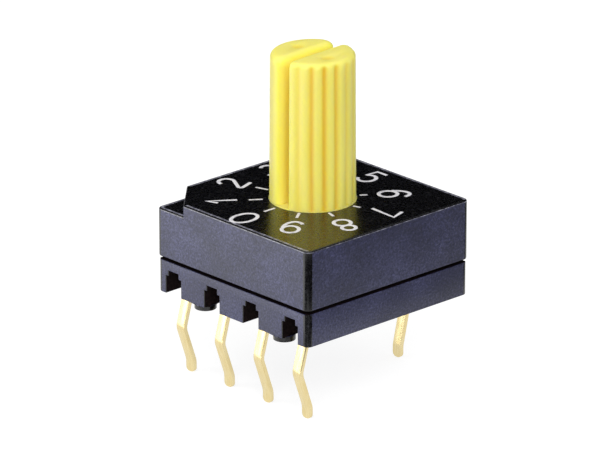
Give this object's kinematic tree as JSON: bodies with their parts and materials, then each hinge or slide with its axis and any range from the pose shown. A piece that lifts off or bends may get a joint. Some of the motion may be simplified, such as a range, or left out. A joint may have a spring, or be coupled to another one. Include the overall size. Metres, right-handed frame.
{
  "type": "rotary dip switch",
  "caption": "Square rotary code switch for a circuit board, with a tall split and fluted shaft that turns a detent wheel and a code plate.",
  "frame": {"origin": "on the shaft's axis, in the plane of the terminals' tips", "axes": "+Z along the shaft, +X along the row of four terminals, which is on the -Y side"},
  "size_m": [0.0098, 0.0098, 0.0152],
  "materials": {
    "black_plastic": "fine matte, spark-eroded texture",
    "yellow_plastic": "satin moulding",
    "gold_plate": "thin gold plating over copper alloy",
    "spring_steel": "rolled",
    "seal_rubber": "matte"
  },
  "bodies": {
    "housing": {"cover": "black_plastic", "base": "black_plastic", "shaft_seal": "seal_rubber", "detent_spring_left": "spring_steel", "detent_spring_right": "spring_steel", "contact_1": "gold_plate", "contact_2": "gold_plate", "contact_4": "gold_plate", "contact_8": "gold_plate", "contact_common": "gold_plate", "terminal_1": "gold_plate", "terminal_2": "gold_plate", "terminal_4": "gold_plate", "terminal_8": "gold_plate", "terminal_common": "gold_plate"},
    "rotor": {"rotor": "yellow_plastic", "code_plate": "gold_plate"}
  },
  "joints": [
    {"name": "rotor_turn", "type": "hinge", "parent": "housing", "child": "rotor", "pos_m": [0, 0, 0.0085], "axis": [0, 0, 1], "continuous": true, "deforming": ["detent_spring_left", "detent_spring_right"]}
  ]
}
